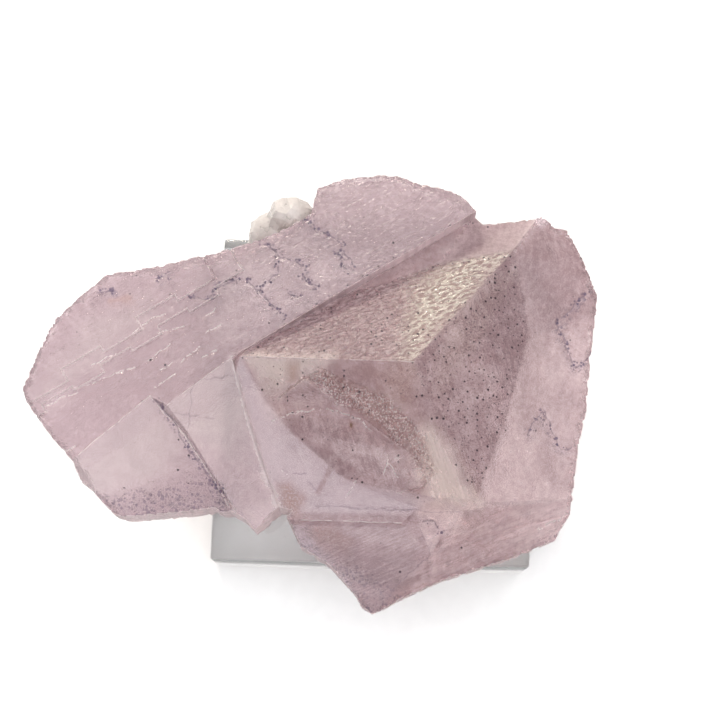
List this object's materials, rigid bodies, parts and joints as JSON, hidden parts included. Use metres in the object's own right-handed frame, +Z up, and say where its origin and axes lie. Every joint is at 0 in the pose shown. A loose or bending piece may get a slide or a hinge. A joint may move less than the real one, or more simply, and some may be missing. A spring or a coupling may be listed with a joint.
{
  "type": "fluorite octahedron specimen",
  "caption": "Pale pink clear fluorite with a raised octahedral corner beside a flat stepped crystal, standing on a clear acrylic block.",
  "frame": {"origin": "centre of the acrylic block's underside", "axes": "+Z up; +X along the specimen's length, from the flat crystal to the octahedral corner; +Y to the far side, seen from the picture's viewpoint"},
  "size_m": [0.0871, 0.067, 0.0405],
  "materials": {
    "fluorite": "clear pale pink stone, frosted and etched on its outer faces",
    "acrylic": "clear and polished",
    "putty": "milky, slightly waxy"
  },
  "bodies": {
    "root": {"fluorite": "fluorite", "acrylic_base": "acrylic", "mounting_putty": "putty"}
  },
  "joints": []
}
